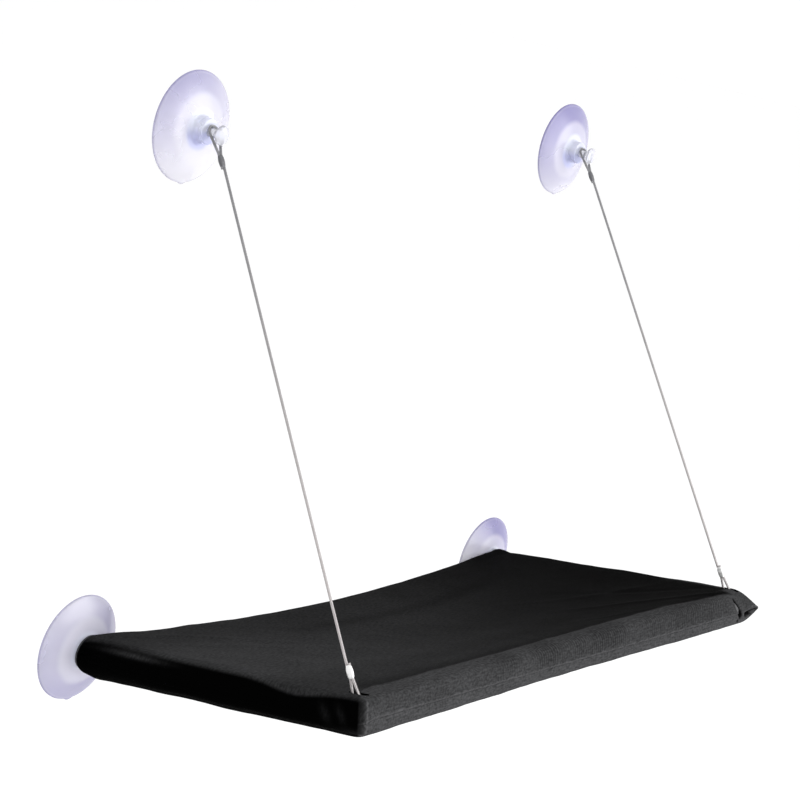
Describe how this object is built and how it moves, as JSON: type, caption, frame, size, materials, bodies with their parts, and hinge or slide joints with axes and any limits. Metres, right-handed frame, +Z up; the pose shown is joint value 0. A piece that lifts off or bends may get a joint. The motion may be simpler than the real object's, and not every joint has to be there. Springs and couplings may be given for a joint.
{
  "type": "window mounted cat perch",
  "caption": "Window perch for a cat: dark canvas bed on a three-sided tube frame, held to the glass by clear suction cups and hung from two steel cables.",
  "frame": {"origin": "on the glass, midway between the centres of the two lower suction cups", "axes": "+X along the window to the right as seen from the room, +Y out through the glass, +Z up"},
  "size_m": [0.665, 0.28, 0.4972],
  "materials": {
    "rail_plastic": "satin",
    "fitting_plastic": "satin",
    "pin_steel": "bright",
    "canvas": "woven, matt",
    "touch_tape": "matt",
    "cup_vinyl": "clear, glossy",
    "peg_plastic": "clear, glossy",
    "cable_steel": "stranded wire",
    "lower_sleeve_metal": "bright",
    "upper_sleeve_metal": "dark"
  },
  "bodies": {
    "bed": {"front_rail": "rail_plastic", "left_rail": "rail_plastic", "right_rail": "rail_plastic", "left_elbow": "fitting_plastic", "right_elbow": "fitting_plastic", "left_rear_socket": "fitting_plastic", "right_rear_socket": "fitting_plastic", "left_loop_pin": "pin_steel", "right_loop_pin": "pin_steel", "cover_top": "canvas", "cover_bottom": "canvas", "rear_hook_tape": "touch_tape", "rear_loop_tape": "touch_tape"},
    "lower_left_suction_cup": {"lower_left_cup": "cup_vinyl"},
    "lower_right_suction_cup": {"lower_right_cup": "cup_vinyl"},
    "left_cable_assembly": {"left_cable": "cable_steel", "left_lower_sleeve": "lower_sleeve_metal", "left_upper_sleeve": "upper_sleeve_metal"},
    "right_cable_assembly": {"right_cable": "cable_steel", "right_lower_sleeve": "lower_sleeve_metal", "right_upper_sleeve": "upper_sleeve_metal"},
    "upper_left_suction_cup": {"upper_left_cup": "cup_vinyl", "upper_left_peg": "peg_plastic"},
    "upper_right_suction_cup": {"upper_right_cup": "cup_vinyl", "upper_right_peg": "peg_plastic"}
  },
  "joints": [
    {"name": "lower_left_cup_swivel", "type": "hinge", "parent": "bed", "child": "lower_left_suction_cup", "pos_m": [-0.29, -0.015, 0], "axis": [0, 1, 0], "continuous": true},
    {"name": "lower_right_cup_swivel", "type": "hinge", "parent": "bed", "child": "lower_right_suction_cup", "pos_m": [0.29, -0.015, 0], "axis": [0, 1, 0], "continuous": true},
    {"name": "left_cable_swing", "type": "hinge", "parent": "bed", "child": "left_cable_assembly", "pos_m": [-0.29, -0.26343, 0.05187], "axis": [1, 0, 0], "range_deg": [0, 45]},
    {"name": "right_cable_swing", "type": "hinge", "parent": "bed", "child": "right_cable_assembly", "pos_m": [0.29, -0.26343, 0.05187], "axis": [1, 0, 0], "range_deg": [0, 45]},
    {"name": "upper_left_cup_swivel", "type": "hinge", "parent": "left_cable_assembly", "child": "upper_left_suction_cup", "pos_m": [-0.27, -0.024, 0.41], "axis": [0, 1, 0], "continuous": true},
    {"name": "upper_right_cup_swivel", "type": "hinge", "parent": "right_cable_assembly", "child": "upper_right_suction_cup", "pos_m": [0.27, -0.024, 0.41], "axis": [0, 1, 0], "continuous": true}
  ]
}
